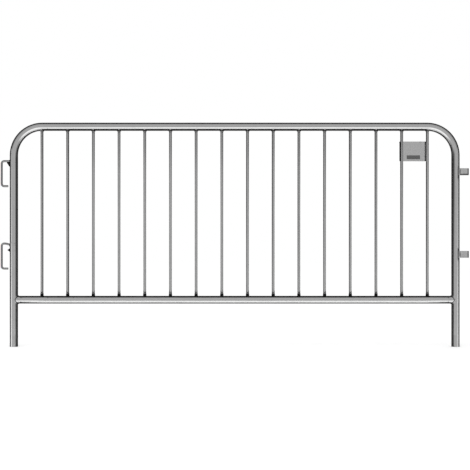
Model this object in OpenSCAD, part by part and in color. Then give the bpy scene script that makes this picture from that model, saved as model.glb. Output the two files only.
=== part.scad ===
// Pedestrian barrier panel: a bent tube frame with a bottom rail and upright bars,
// two hooks on the left leg, two strap loops on the right leg and a marking plate.
// Millimetres, Z up. The panel stands in the XZ plane and its front faces -Y.
// The origin lies midway between the legs, level with their cut ends.

/* [Frame] */
// Width across the outsides of the two legs
frame_w = 2210; // [1700:10:2700]
// Height from the cut leg ends to the top of the tube
frame_h = 1100; // [900:10:1400]
// Outside diameter of the frame tube
frame_d = 40; // [38:1:50]
// Wall of the frame tube
frame_wall = 1.5; // [1:0.5:4]
// Radius of the corner bends, to the middle of the tube
bend_r = 140; // [60:5:180]

/* [Bottom rail] */
// Outside diameter of the bottom rail
rail_d = 38; // [25:1:38]
// Wall of the bottom rail
rail_wall = 1.5; // [1:0.5:4]
// Height of the middle of the rail above the leg ends
rail_z = 230; // [100:5:330]

/* [Bars] */
// Outside diameter of an upright bar
bar_d = 14; // [12:1:22]
// Wall of an upright bar
bar_wall = 1.2; // [1:0.2:2]
// Distance from the middle of a leg to the middle of the nearest bar
end_bar_gap = 138; // [100:1:180]

/* [Hooks] */
// Diameter of the hook rod
hook_rod_d = 10; // [8:1:12]
// How far a hook stands out from the leg
hook_reach = 45; // [40:1:60]
// Height from the middle of a hook's top arm to the middle of its bottom arm
hook_drop = 123; // [80:1:170]
// Radius of a hook's bends, to the middle of the rod
hook_bend_r = 12; // [9:1:16]
// Gap between a hook's tip and the leg
hook_mouth = 8; // [6:0.5:12]
// Depth of the middle of the upper hook's top arm below the top of the frame
hook_upper_depth = 189; // [185:1:250]
// Height of the middle of the lower hook's top arm above the leg ends
hook_lower_z = 506; // [300:1:520]

/* [Loops] */
// Thickness of the loop strap
strap_t = 5; // [3:0.5:6]
// Height of the loop strap
strap_h = 33; // [20:1:50]
// Width of a loop over the outside of the strap, front to back
loop_w = 26; // [24:1:36]
// How far a loop stands out from the leg
loop_reach = 45; // [38:1:60]
// Radius of a loop's two bends, on the inside of the strap
loop_bend_r = 5; // [3:0.5:6]
// Depth of the middle of the upper loop below the top of the frame
loop_upper_depth = 241; // [220:1:320]
// Height of the middle of the lower loop above the leg ends
loop_lower_z = 453; // [250:1:500]

/* [Marking plate] */
// Height of the plate
plate_h = 97; // [60:1:200]
// Thickness of the plate
plate_t = 3; // [1.5:0.5:5]
// Gap between the top tube and the plate's top edge
plate_drop = 52; // [20:1:200]
// How far the plate reaches past the middle of the bar on its left
plate_lap_left = 9.5; // [4:0.5:20]
// How far the plate reaches past the middle of the bar on its right
plate_lap_right = 5; // [4:0.5:20]
// Radius of the plate's corners
plate_corner_r = 3; // [1:0.5:10]

/* [Joints] */
// Root gap left for the weld between a piece and the surface it is fitted to
weld_gap = 0.2; // [0.1:0.1:0.5]
// Diameter of the hidden vent under each end of a bar, for air and zinc
bar_vent_d = 8; // [4:0.5:9]
// Diameter of the hidden vent in each leg where the rail is welded on
rail_vent_d = 18; // [8:1:20]

/* [Hidden] */
// The part's nodes are the pieces of steel, so the number of bars is fixed
bar_count = 16;
// The plate is welded to this bar and the next one
plate_bar = 15;
// Extra length that carries a cut clear of the surface it ends at
overrun = 1;
// Facets of a drawn circle
$fn = 96;

frame_r = frame_d / 2;
leg_x = frame_w / 2 - frame_r;
top_z = frame_h - frame_r;
bend_x = leg_x - bend_r;
bend_z = top_z - bend_r;
bar_pitch = (2 * leg_x - 2 * end_bar_gap) / (bar_count - 1);
bar_bore_d = bar_d - 2 * bar_wall;
hook_x = frame_r + hook_reach - hook_rod_d / 2;
loop_corner_r = loop_bend_r + strap_t;
galvanised = [0.66, 0.68, 0.70];

// Place of a bar across the panel, counted from the left
function bar_x(number) = -leg_x + end_bar_gap + (number - 1) * bar_pitch;

// A quarter bend of a round bar in the XZ plane, from +X round to +Z about the origin
module quarter_bend(d, r) {
    rotate([90, 0, 0])
        rotate_extrude(angle = 90)
            translate([r, 0])
                circle(d = d);
}

// A round bar along X, centred
module bar_along_x(d, length) {
    rotate([0, 90, 0])
        cylinder(d = d, h = length, center = true);
}

// The frame's path as a round bar: both legs, both bends and the top.
// The legs run the given length below their cut ends.
module frame_path(d, below = 0) {
    for (side = [0, 1])
        mirror([side, 0, 0]) {
            translate([leg_x, 0, -below])
                cylinder(d = d, h = bend_z + below);
            translate([bend_x, 0, bend_z])
                quarter_bend(d, bend_r);
        }
    translate([0, 0, top_z])
        bar_along_x(d, 2 * bend_x);
}

// The space taken by the frame and the gap round it, which copes the pieces welded to it
module frame_seat() {
    frame_path(frame_d + 2 * weld_gap);
}

// The space taken by the bottom rail and the gap round it
module rail_seat() {
    translate([0, 0, rail_z])
        bar_along_x(rail_d + 2 * weld_gap, 2 * leg_x);
}

// Upright drills on every bar's axis, between two heights
module bar_vents(from_z, to_z) {
    for (number = [1 : bar_count])
        translate([bar_x(number), 0, from_z])
            cylinder(d = bar_vent_d, h = to_z - from_z);
}

module frame_tube() {
    color(galvanised)
        difference() {
            frame_path(frame_d);
            frame_path(frame_d - 2 * frame_wall, overrun);
            translate([0, 0, rail_z])
                bar_along_x(rail_vent_d, 2 * leg_x);
            bar_vents(top_z - frame_d, top_z);
        }
}

module bottom_rail() {
    color(galvanised)
        difference() {
            translate([0, 0, rail_z])
                bar_along_x(rail_d, 2 * leg_x);
            translate([0, 0, rail_z])
                bar_along_x(rail_d - 2 * rail_wall, 2 * leg_x + 2 * overrun);
            frame_seat();
            bar_vents(rail_z, rail_z + rail_d);
        }
}

// One upright tube, saddle cut to the rail below it and to the frame above it
module bar(number) {
    color(galvanised)
        difference() {
            translate([bar_x(number), 0, rail_z])
                cylinder(d = bar_d, h = top_z - rail_z);
            translate([bar_x(number), 0, rail_z - overrun])
                cylinder(d = bar_bore_d, h = top_z - rail_z + 2 * overrun);
            rail_seat();
            frame_seat();
        }
}

// A bent rod hook on the left leg: top arm, bend, shank, bend, bottom arm with a free tip
module hook(arm_z) {
    bend_at = -leg_x - hook_x + hook_bend_r;
    tip_at = -leg_x - frame_r - hook_mouth;
    color(galvanised) {
        difference() {
            translate([bend_at, 0, arm_z])
                rotate([0, 90, 0])
                    cylinder(d = hook_rod_d, h = -leg_x - bend_at);
            frame_seat();
        }
        translate([bend_at, 0, arm_z - hook_bend_r])
            mirror([1, 0, 0])
                quarter_bend(hook_rod_d, hook_bend_r);
        translate([-leg_x - hook_x, 0, arm_z - hook_drop + hook_bend_r])
            cylinder(d = hook_rod_d, h = hook_drop - 2 * hook_bend_r);
        translate([bend_at, 0, arm_z - hook_drop + hook_bend_r])
            rotate([0, 180, 0])
                quarter_bend(hook_rod_d, hook_bend_r);
        translate([bend_at, 0, arm_z - hook_drop])
            rotate([0, 90, 0])
                cylinder(d = hook_rod_d, h = tip_at - bend_at);
    }
}

module hook_upper() {
    hook(frame_h - hook_upper_depth);
}

module hook_lower() {
    hook(hook_lower_z);
}

// Plan of a strip that leaves the leg's middle along +X and ends in two round corners
module strip_plan(length, width, corner_r) {
    translate([0, -width / 2])
        square([length - corner_r, width]);
    translate([0, -width / 2 + corner_r])
        square([length, width - 2 * corner_r]);
    for (side = [-1, 1])
        translate([length - corner_r, side * (width / 2 - corner_r)])
            circle(r = corner_r);
}

// A strap bent to a U in plan, its two ends cut to the right leg
module loop(middle_z) {
    color(galvanised)
        translate([leg_x, 0, middle_z - strap_h / 2])
            linear_extrude(strap_h)
                difference() {
                    strip_plan(frame_r + loop_reach, loop_w, loop_corner_r);
                    strip_plan(frame_r + loop_reach - strap_t, loop_w - 2 * strap_t, loop_bend_r);
                    circle(d = frame_d + 2 * weld_gap);
                }
}

module loop_upper() {
    loop(frame_h - loop_upper_depth);
}

module loop_lower() {
    loop(loop_lower_z);
}

// A flat sheet behind two neighbouring bars
module marking_plate() {
    left = bar_x(plate_bar) - plate_lap_left;
    right = bar_x(plate_bar + 1) + plate_lap_right;
    top = frame_h - frame_d - plate_drop;
    back = bar_d / 2 + weld_gap + plate_t;
    color(galvanised)
        translate([left, back, top - plate_h])
            rotate([90, 0, 0])
                linear_extrude(plate_t) {
                    translate([plate_corner_r, 0])
                        square([right - left - 2 * plate_corner_r, plate_h]);
                    translate([0, plate_corner_r])
                        square([right - left, plate_h - 2 * plate_corner_r]);
                    for (x = [plate_corner_r, right - left - plate_corner_r])
                        for (z = [plate_corner_r, plate_h - plate_corner_r])
                            translate([x, z])
                                circle(r = plate_corner_r);
                }
}

frame_tube();
bottom_rail();
bar(1);  // bar_01
bar(2);  // bar_02
bar(3);  // bar_03
bar(4);  // bar_04
bar(5);  // bar_05
bar(6);  // bar_06
bar(7);  // bar_07
bar(8);  // bar_08
bar(9);  // bar_09
bar(10);  // bar_10
bar(11);  // bar_11
bar(12);  // bar_12
bar(13);  // bar_13
bar(14);  // bar_14
bar(15);  // bar_15
bar(16);  // bar_16
hook_upper();
hook_lower();
loop_upper();
loop_lower();
marking_plate();
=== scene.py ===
import math
import random

import bpy
from mathutils import Matrix, Vector


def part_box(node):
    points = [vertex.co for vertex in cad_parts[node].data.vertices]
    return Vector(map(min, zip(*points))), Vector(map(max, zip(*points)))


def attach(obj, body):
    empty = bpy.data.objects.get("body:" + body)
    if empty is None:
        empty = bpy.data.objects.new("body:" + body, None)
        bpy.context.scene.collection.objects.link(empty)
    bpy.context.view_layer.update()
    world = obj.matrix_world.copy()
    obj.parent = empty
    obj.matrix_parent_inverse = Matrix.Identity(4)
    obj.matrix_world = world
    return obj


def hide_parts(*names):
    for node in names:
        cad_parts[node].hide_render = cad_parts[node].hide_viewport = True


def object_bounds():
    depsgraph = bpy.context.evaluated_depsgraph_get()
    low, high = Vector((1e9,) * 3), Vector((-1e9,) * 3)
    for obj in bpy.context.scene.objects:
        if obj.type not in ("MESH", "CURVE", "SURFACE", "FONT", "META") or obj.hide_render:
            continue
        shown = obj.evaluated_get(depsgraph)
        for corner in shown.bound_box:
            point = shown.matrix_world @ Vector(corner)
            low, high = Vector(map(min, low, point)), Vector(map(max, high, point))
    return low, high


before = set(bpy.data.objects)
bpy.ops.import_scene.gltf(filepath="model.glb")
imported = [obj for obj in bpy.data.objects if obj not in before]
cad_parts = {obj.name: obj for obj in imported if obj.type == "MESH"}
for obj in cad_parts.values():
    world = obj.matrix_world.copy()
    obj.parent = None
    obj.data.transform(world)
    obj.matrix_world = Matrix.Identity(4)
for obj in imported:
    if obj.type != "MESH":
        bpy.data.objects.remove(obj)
cad_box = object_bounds()

# Sizes of the steel, in metres; bend radii are to the middle of the tube, rod or strap
TUBE_R = 0.020
TUBE_WALL = 0.0015
BEND_R = 0.140
RAIL_R = 0.019
RAIL_WALL = 0.0015
BAR_R = 0.007
BAR_WALL = 0.0012
ROD_R = 0.005
ROD_BEND_R = 0.012
HOOK_MOUTH = 0.008
STRAP_T = 0.005
STRAP_BEND_R = 0.0075
PLATE_CORNER_R = 0.003

# How far sharp edges are broken
TUBE_EDGE = 0.0003
ROD_EDGE = 0.0012
STRAP_EDGE = 0.0007
PLATE_EDGE = 0.0004


def middle(node):
    """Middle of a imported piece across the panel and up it: its x and z."""
    low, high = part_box(node)
    return (low.x + high.x) / 2, (low.z + high.z) / 2


# Places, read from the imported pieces
_, frame_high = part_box("frame_tube")
LEG_X = frame_high.x - TUBE_R
TOP_Z = frame_high.z - TUBE_R
BEND_X = LEG_X - BEND_R
BEND_Z = TOP_Z - BEND_R
TUBE_UNDER = TOP_Z - TUBE_R
_, RAIL_Z = middle("bottom_rail")
RAIL_OVER = RAIL_Z + RAIL_R
RAIL_UNDER = RAIL_Z - RAIL_R
BAR_COUNT = 16
BAR_NAMES = [f"bar_{number + 1:02d}" for number in range(BAR_COUNT)]
BAR_X = [middle(name)[0] for name in BAR_NAMES]
HOOK_ARM_Z = {node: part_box(node)[1].z - ROD_R for node in ("hook_upper", "hook_lower")}
LOOP_Z = {node: middle(node)[1] for node in ("loop_upper", "loop_lower")}
PLATE_LOW, PLATE_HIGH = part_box("marking_plate")

# The plate is welded to this bar and the next one, counted from 0
PLATE_BAR = 14

# Roundness of the drawn pieces
TUBE_SIDES = 64
BAR_SIDES = 32
ROD_SIDES = 24
BEND_STEPS = 28
ROD_BEND_STEPS = 10
CORNER_STEPS = 6

# Slack when points are picked by their place, and the distance within which they are merged
SLACK = 1e-5
SAME_POINT = 1e-6

# Angles in degrees: edges sharper than these are broken, or stay crisp when a piece is shaded smooth
BREAK_ANGLE = 50
CRISP_ANGLE = 18
LABEL_CRISP_ANGLE = 3
WELD_CRISP_ANGLE = 60

# The panel's two sides along x, and its two faces along y
SIDES = (("left", -1), ("right", 1))
FACES = (("front", -1), ("back", 1))


# Working with one piece at a time

def put_down():
    """Leaves nothing selected."""
    bpy.ops.object.select_all(action="DESELECT")


def take_up(piece):
    """Leaves one piece selected and active."""
    put_down()
    piece.select_set(True)
    bpy.context.view_layer.objects.active = piece


def settle(name, scale=(1, 1, 1)):
    """Names the piece just added and puts its place, turn and size into its mesh."""
    piece = bpy.context.object
    piece.name = name
    piece.scale = scale
    bpy.ops.object.transform_apply(location=True, rotation=True, scale=True)
    return piece


def enter_edit(action):
    """Enters edit mode with everything selected or nothing."""
    bpy.ops.object.mode_set(mode="EDIT")
    bpy.ops.mesh.select_all(action=action)


def open_ring(name, radius, place, along, sides):
    """Starts a tube: a ring of edges, square to the way it will be drawn out, in edit mode."""
    put_down()
    turn = Vector((0, 0, 1)).rotation_difference(Vector(along)).to_euler()
    bpy.ops.mesh.primitive_circle_add(vertices=sides, radius=radius, location=place, rotation=turn)
    piece = settle(name)
    enter_edit("SELECT")
    return piece


def draw_out(step):
    """Extrudes the selected edges by one straight step."""
    bpy.ops.mesh.extrude_region_move(TRANSFORM_OT_translate={"value": step})


def bend_round(centre, angle, steps, axis=(0, 1, 0)):
    """Extrudes the selected edges round a bend, by the right-hand rule about the axis."""
    bpy.ops.mesh.spin(steps=steps, angle=-angle, center=centre, axis=axis)


def close_ends():
    """Fills every open ring of edges with a face."""
    bpy.ops.mesh.select_all(action="DESELECT")
    bpy.ops.mesh.select_mode(type="EDGE")
    bpy.ops.mesh.select_non_manifold(extend=False)
    bpy.ops.mesh.edge_face_add()


def leave_edit(piece):
    """Merges doubled points, turns the faces outwards and leaves edit mode."""
    bpy.ops.mesh.select_all(action="SELECT")
    bpy.ops.mesh.remove_doubles(threshold=SAME_POINT)
    bpy.ops.mesh.normals_make_consistent(inside=False)
    bpy.ops.object.mode_set(mode="OBJECT")
    take_up(piece)


def apply_wall(piece, thickness):
    """Gives a drawn skin its wall, inwards."""
    wall = piece.modifiers.new("wall", "SOLIDIFY")
    wall.thickness = thickness
    wall.offset = -1
    wall.use_even_offset = True
    take_up(piece)
    bpy.ops.object.modifier_apply(modifier=wall.name)


def apply_edge_break(piece, width, segments=2):
    """Breaks the sharp edges of a piece with a small bevel."""
    edge = piece.modifiers.new("edge", "BEVEL")
    edge.width = width
    edge.segments = segments
    edge.limit_method = "ANGLE"
    edge.angle_limit = math.radians(BREAK_ANGLE)
    take_up(piece)
    bpy.ops.object.modifier_apply(modifier=edge.name)


def smooth(piece, angle=CRISP_ANGLE):
    """Shades the round faces smooth; edges sharper than the angle, such as broken edges, stay crisp."""
    take_up(piece)
    bpy.ops.object.shade_smooth_by_angle(angle=math.radians(angle))


def move_points(piece, chosen, place):
    """Moves each chosen point of a mesh to the place worked out for it."""
    for point in piece.data.vertices:
        if chosen(point.co):
            point.co = place(point.co)
    piece.data.update()


def finish_piece(piece, material, nodes=()):
    """Gives a piece its finish and its body, and hides the imported pieces that it stands for."""
    piece.data.materials.clear()
    piece.data.materials.append(material)
    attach(piece, "root")
    if nodes:
        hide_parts(*nodes)


def copy_piece(piece, name, shift):
    """A copy with a mesh of its own, moved over in its mesh."""
    twin = piece.copy()
    twin.data = piece.data.copy()
    twin.name = name
    twin.data.name = name
    twin.data.transform(Matrix.Translation(shift))
    bpy.context.scene.collection.objects.link(twin)
    return twin


def round_height(across, radius):
    """How far a round tube's surface stands from its middle plane, at a distance across it."""
    return math.sqrt(max(radius * radius - across * across, 0))


# Finishes

# Most of a noise mask lies between these values
MASK_LOW = 0.2
MASK_HIGH = 0.8

# Patterns of the finishes: scales per metre, shares in which they are mixed, ends of their soft edges
PATCH_SCALE = 90
PATCH_RELIEF_SHARE = 0.5
CLOUD_SCALE = 9
CLOUD_ROUGHNESS = 0.6
CLOUD_SHARE = 0.55
WARP_SCALE = 60
WARP_SHARE = 0.012
GRAIN_SCALE = 420
GRAIN_SHARE = 0.18
GRAIN_DEPTH = 0.0004
RUN_SCALE = (20, 20, 20)
FILM_SCALE = 160
FILM_SHARE = 0.5
DROP_SCALE = 130
DROP_SHARE = 0.8
DROP_EDGE = (0.36, 0.18)
PAINTED_SHADE_EDGE = (0.35, 1.0)
SOOT_AND_PAINTED_SHADE_GREY = 0.03
SOOT_AND_PAINTED_SHADE_ROUGH = 0.6
BURN_AND_PAINTED_SHADE_RAG_SHARE = 0.6
BURN_AND_PAINTED_SHADE_EDGE = (0.45, 1.1)
LABEL_RUB = {"Patch Scale": 900, "Cloud Scale": 120}
LABEL_GREYS = (0.090, 0.130)
LABEL_ROUGH = (0.38, 0.55)


def grey_colour(grey):
    """A grey as a colour."""
    return (grey, grey, grey, 1)


def add_socket(group, way, name, kind, value=None):
    """Gives a node group an input or an output."""
    socket = group.interface.new_socket(name=name, in_out=way, socket_type=kind)
    if value is not None:
        socket.default_value = value


def set_inputs(tree, node, inputs):
    """Gives each of a node's inputs its value, or links it to another node's output."""
    for entry, value in inputs.items():
        if isinstance(value, bpy.types.NodeSocket):
            tree.links.new(value, node.inputs[entry])
        else:
            node.inputs[entry].default_value = value


def add_node(tree, kind, inputs=None, **settings):
    """Adds a node with its settings and inputs; gives back its outputs."""
    node = tree.nodes.new(kind)
    for name, value in settings.items():
        setattr(node, name, value)
    set_inputs(tree, node, inputs or {})
    return node.outputs


def add_math(tree, operation, *values, **settings):
    """Adds a calculation with its values in order; gives back its result."""
    return add_node(tree, "ShaderNodeMath", dict(enumerate(values)), operation=operation, **settings)["Value"]


def add_vector_math(tree, operation, *vectors, output="Vector"):
    """Adds a calculation with its vectors in order; gives back its result."""
    return add_node(tree, "ShaderNodeVectorMath", dict(enumerate(vectors)), operation=operation)[output]


def add_mix(tree, kind, share, one, other):
    """Adds a mix of two values, vectors or colours; share is how much of the second is in it."""
    return add_node(tree, "ShaderNodeMix", {"Factor": share, "A": one, "B": other}, data_type=kind)["Result"]


def add_range(tree, value, start, end, at_start=0, at_end=1, kind="SMOOTHSTEP"):
    """Adds a value that goes from at_start to at_end while the given one goes from start to end."""
    inputs = {"Value": value, "From Min": start, "From Max": end, "To Min": at_start, "To Max": at_end}
    return add_node(tree, "ShaderNodeMapRange", inputs, interpolation_type=kind)["Result"]


def add_noise(tree, place, scale, detail, roughness=0.5):
    """Adds a noise pattern; gives back its outputs."""
    inputs = {"Vector": place, "Scale": scale, "Detail": detail, "Roughness": roughness}
    return add_node(tree, "ShaderNodeTexNoise", inputs)


def object_place(tree):
    """The place of a point in its object's own coordinates."""
    return add_node(tree, "ShaderNodeTexCoord")["Object"]


def vector_parts(tree, vector):
    """The X, Y and Z of a vector."""
    return add_node(tree, "ShaderNodeSeparateXYZ", {"Vector": vector})


def grey_ramp(tree, value, stops):
    """Greys along a value; each stop is a place on the ramp and its grey."""
    ramp = tree.nodes.new("ShaderNodeValToRGB")
    set_inputs(tree, ramp, {"Fac": value})
    elements = ramp.color_ramp.elements
    for position, _ in stops[1:-1]:
        elements.new(position)
    for element, (position, grey) in zip(elements, stops):
        element.position = position
        element.color = grey_colour(grey)
    return ramp.outputs["Color"]


def new_material(name):
    """A new material; gives back the material and its node tree."""
    material = bpy.data.materials.new(name)
    material.use_nodes = True
    return material, material.node_tree


def make_spangle_group():
    """The frosted patches and clouding of hot-dip zinc, its fine grain and the slow swell of its runs."""
    group = bpy.data.node_groups.new("zinc_spangle", "ShaderNodeTree")
    add_socket(group, "INPUT", "Patch Scale", "NodeSocketFloat", PATCH_SCALE)
    add_socket(group, "INPUT", "Cloud Scale", "NodeSocketFloat", CLOUD_SCALE)
    add_socket(group, "INPUT", "Run Scale", "NodeSocketVector", RUN_SCALE)
    for name in ("Shade", "Gloss", "Relief", "Runs"):
        add_socket(group, "OUTPUT", name, "NodeSocketFloat")
    given = add_node(group, "NodeGroupInput")
    place = object_place(group)
    warp = add_noise(group, place, WARP_SCALE, detail=2)["Color"]
    warped = add_mix(group, "VECTOR", WARP_SHARE, place, warp)
    patches = add_node(group, "ShaderNodeTexVoronoi", {"Vector": warped, "Scale": given["Patch Scale"]})
    patch = add_node(group, "ShaderNodeSeparateColor", {"Color": patches["Color"]})
    cloud = add_noise(group, place, given["Cloud Scale"], detail=4, roughness=CLOUD_ROUGHNESS)["Fac"]
    clouded = add_mix(group, "FLOAT", CLOUD_SHARE, patch["Red"], cloud)
    grain = add_noise(group, place, GRAIN_SCALE, detail=3)["Fac"]
    run_place = add_vector_math(group, "MULTIPLY", place, given["Run Scale"])
    add_node(group, "NodeGroupOutput", {
        "Shade": add_mix(group, "FLOAT", GRAIN_SHARE, clouded, grain),
        "Gloss": patch["Green"],
        "Relief": add_mix(group, "FLOAT", PATCH_RELIEF_SHARE, grain, patch["Blue"]),
        "Runs": add_noise(group, run_place, scale=1, detail=1)["Fac"],
    })
    return group


def make_stain_and_painted_shade_group():
    """A dark film that thins out from a middle, used only for painted shade, and drops of weld spatter, fewer
    further off.
    """
    group = bpy.data.node_groups.new("weld_stain_and_painted_shade", "ShaderNodeTree")
    for name in ("Place", "Nearness"):
        add_socket(group, "INPUT", name, "NodeSocketVector")
    for name in ("PaintedShade", "Spatter"):
        add_socket(group, "OUTPUT", name, "NodeSocketFloat")
    given = add_node(group, "NodeGroupInput")
    place = object_place(group)
    away = add_vector_math(group, "SUBTRACT", place, given["Place"])
    steps = add_vector_math(group, "MULTIPLY", away, given["Nearness"])
    distance = add_vector_math(group, "LENGTH", steps, output="Value")
    near = add_math(group, "SUBTRACT", 1, distance, use_clamp=True)
    film = add_noise(group, place, FILM_SCALE, detail=3)["Fac"]
    uneven = add_math(group, "MULTIPLY_ADD", film, FILM_SHARE, near)
    drops = add_node(group, "ShaderNodeTexVoronoi", {"Vector": place, "Scale": DROP_SCALE})
    drop = add_range(group, drops["Distance"], *DROP_EDGE)
    chance = add_node(group, "ShaderNodeSeparateColor", {"Color": drops["Color"]})["Red"]
    kept = add_math(group, "LESS_THAN", chance, add_math(group, "MULTIPLY", near, DROP_SHARE))
    add_node(group, "NodeGroupOutput", {
        "PaintedShade": add_range(group, uneven, *PAINTED_SHADE_EDGE),
        "Spatter": add_math(group, "MULTIPLY", drop, kept),
    })
    return group


SPANGLE = make_spangle_group()
STAIN_AND_PAINTED_SHADE = make_stain_and_painted_shade_group()


def shade_ramp(tree, mask, low, high):
    """Spreads a mask over two greys."""
    return grey_ramp(tree, mask, ((MASK_LOW, low), (MASK_HIGH, high)))


def value_range(tree, mask, low, high):
    """Spreads a mask over a range of values."""
    return add_range(tree, mask, MASK_LOW, MASK_HIGH, low, high, "LINEAR")


def stain_and_painted_shade_mask(tree, stains_and_painted_shade):
    """The strongest of several marks of weld spatter and painted shade, each given by its kind, middle, reach
    along x, y and z and strength.

    A reach of zero leaves that direction out, so that the mark runs on along it.
    """
    whole = None
    for kind, place, reach, strength in stains_and_painted_shade:
        nearness = [1 / length if length else 0 for length in reach]
        stain_and_painted_shade = add_node(tree, "ShaderNodeGroup", {"Place": place, "Nearness": nearness}, node_tree=STAIN_AND_PAINTED_SHADE)
        mask = add_math(tree, "MULTIPLY", stain_and_painted_shade[kind], strength)
        whole = add_math(tree, "MAXIMUM", whole, mask) if whole else mask
    return whole


def burn_and_painted_shade_mask(tree):
    """Where a weld is burnt black, and where painted shade lies on it: the darkness marked on its points,
    with a ragged edge.
    """
    mark = add_node(tree, "ShaderNodeAttribute", attribute_name="burn_and_painted_shade")["Fac"]
    rag = add_noise(tree, object_place(tree), GRAIN_SCALE, detail=2)["Fac"]
    ragged = add_math(tree, "MULTIPLY_ADD", rag, BURN_AND_PAINTED_SHADE_RAG_SHARE, mark)
    return add_range(tree, ragged, *BURN_AND_PAINTED_SHADE_EDGE)


def add_soot_and_painted_shade(tree, mask, colour, roughness):
    """Darkens a colour and a roughness where welds are burnt and where shade is painted; gives back the two
    darkened ones.
    """
    soot_and_painted_shade_colour = add_mix(tree, "RGBA", mask, colour, grey_colour(SOOT_AND_PAINTED_SHADE_GREY))
    soot_and_painted_shade_roughness = add_mix(tree, "FLOAT", mask, roughness, SOOT_AND_PAINTED_SHADE_ROUGH)
    return soot_and_painted_shade_colour, soot_and_painted_shade_roughness


def make_zinc(name, greys, rough, relief=0.02, run_scale=RUN_SCALE, run_depth=0.0006, stains_and_painted_shade=(),
              weld=False):
    """Galvanised steel: the greys of its patches, the range of its gloss, its relief, its weld spatter and
    its painted shade.
    """
    material, tree = new_material(name)
    zinc = add_node(tree, "ShaderNodeGroup", {"Run Scale": run_scale}, node_tree=SPANGLE)
    colour = shade_ramp(tree, zinc["Shade"], *greys)
    roughness = value_range(tree, zinc["Gloss"], *rough)
    if stains_and_painted_shade:
        colour, roughness = add_soot_and_painted_shade(tree, stain_and_painted_shade_mask(tree, stains_and_painted_shade), colour, roughness)
    if weld:
        colour, roughness = add_soot_and_painted_shade(tree, burn_and_painted_shade_mask(tree), colour, roughness)
    swell = add_node(tree, "ShaderNodeBump", {"Height": zinc["Runs"], "Distance": run_depth})["Normal"]
    grain = {"Height": zinc["Relief"], "Strength": relief, "Distance": GRAIN_DEPTH, "Normal": swell}
    set_inputs(tree, tree.nodes["Principled BSDF"], {
        "Metallic": 1,
        "Base Color": colour,
        "Roughness": roughness,
        "Normal": add_node(tree, "ShaderNodeBump", grain)["Normal"],
    })
    return material


def make_label_finish():
    """Dark sheet of the bare label: a satin grey with faint rubbing."""
    material, tree = new_material("label_grey")
    rub = add_node(tree, "ShaderNodeGroup", LABEL_RUB, node_tree=SPANGLE)
    set_inputs(tree, tree.nodes["Principled BSDF"], {
        "Base Color": shade_ramp(tree, rub["Shade"], *LABEL_GREYS),
        "Roughness": value_range(tree, rub["Gloss"], *LABEL_ROUGH),
    })
    return material


# Spatter on the legs: side, height and strength; some lies a little off its weld
SPATTER_REACH = (0.05, 0.05, 0.05)
HOOK_SPATTER_DROP = 0.02
LOOP_SPATTER_SHIFT = 0.01
LEG_SPATTER = [
    (-1, HOOK_ARM_Z["hook_upper"], 0.3),
    (-1, HOOK_ARM_Z["hook_lower"] - HOOK_SPATTER_DROP, 0.65),
    (1, LOOP_Z["loop_upper"] + LOOP_SPATTER_SHIFT, 0.35),
    (1, LOOP_Z["loop_lower"] - LOOP_SPATTER_SHIFT, 0.12),
]

# Weld spatter beside the welds, and painted shade at joints and edges: kind, middle, reach along x, y and z,
# strength
COLLAR_PAINTED_SHADE_RISE = 0.006
FRAME_STAINS = [
    ("Spatter", (side * (LEG_X + TUBE_R), -TUBE_R / 2, z), SPATTER_REACH, strength)
    for side, z, strength in LEG_SPATTER
]
RAIL_STAINS = [("Spatter", (side * (LEG_X - TUBE_R), 0, RAIL_Z), (0.03, 0, 0), 0.3) for _, side in SIDES]
# Painted shade on the bars: black just above each foot's collar, a dark line under the top tube, and darker
# towards the top
BAR_PAINTED_SHADE = [
    ("PaintedShade", (0, 0, RAIL_OVER + COLLAR_PAINTED_SHADE_RISE), (0, 0, 0.020), 0.9),
    ("PaintedShade", (0, 0, TUBE_UNDER), (0, 0, 0.006), 0.5),
    ("PaintedShade", (0, 0, TUBE_UNDER), (0, 0, 0.240), 0.20),
]
# Painted shade along the lower edge of each strap, stronger on the upper loop
STRAP_PAINTED_SHADE = [
    ("PaintedShade", (0, 0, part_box("loop_upper")[0].z), (0, 0, 0.010), 0.85),
    ("PaintedShade", (0, 0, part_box("loop_lower")[0].z), (0, 0, 0.008), 0.3),
]
# Painted shade on the plate's left edge, beside its bar
PLATE_PAINTED_SHADE = [("PaintedShade", (PLATE_LOW.x, 0, 0), (0.007, 0, 0), 0.9)]

# Zinc runs drawn out along a level piece and along an upright one
ALONG_X = (5, 28, 28)
ALONG_Z = (28, 28, 5)

frame_zinc = make_zinc("galvanised_frame", (0.88, 0.95), (0.13, 0.19), run_depth=0.0002,
                       stains_and_painted_shade=FRAME_STAINS)
rail_zinc = make_zinc("galvanised_rail", (0.87, 0.95), (0.13, 0.19), run_scale=ALONG_X, run_depth=0.0012,
                      stains_and_painted_shade=RAIL_STAINS)
bar_zinc = make_zinc("galvanised_bars", (0.83, 0.92), (0.15, 0.22), run_scale=ALONG_Z, stains_and_painted_shade=BAR_PAINTED_SHADE)
rod_zinc = make_zinc("galvanised_rod", (0.42, 0.56), (0.18, 0.28), relief=0.03)
strap_zinc = make_zinc("galvanised_strap", (0.78, 0.96), (0.20, 0.30), relief=0.03, stains_and_painted_shade=STRAP_PAINTED_SHADE)
plate_zinc = make_zinc("galvanised_plate", (0.89, 0.95), (0.24, 0.32), run_depth=0.0002,
                       stains_and_painted_shade=PLATE_PAINTED_SHADE)
weld_zinc = make_zinc("weld_metal", (0.62, 0.82), (0.22, 0.36), relief=0.15, weld=True)
label_grey = make_label_finish()


# Frame tube, rail and bars

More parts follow.
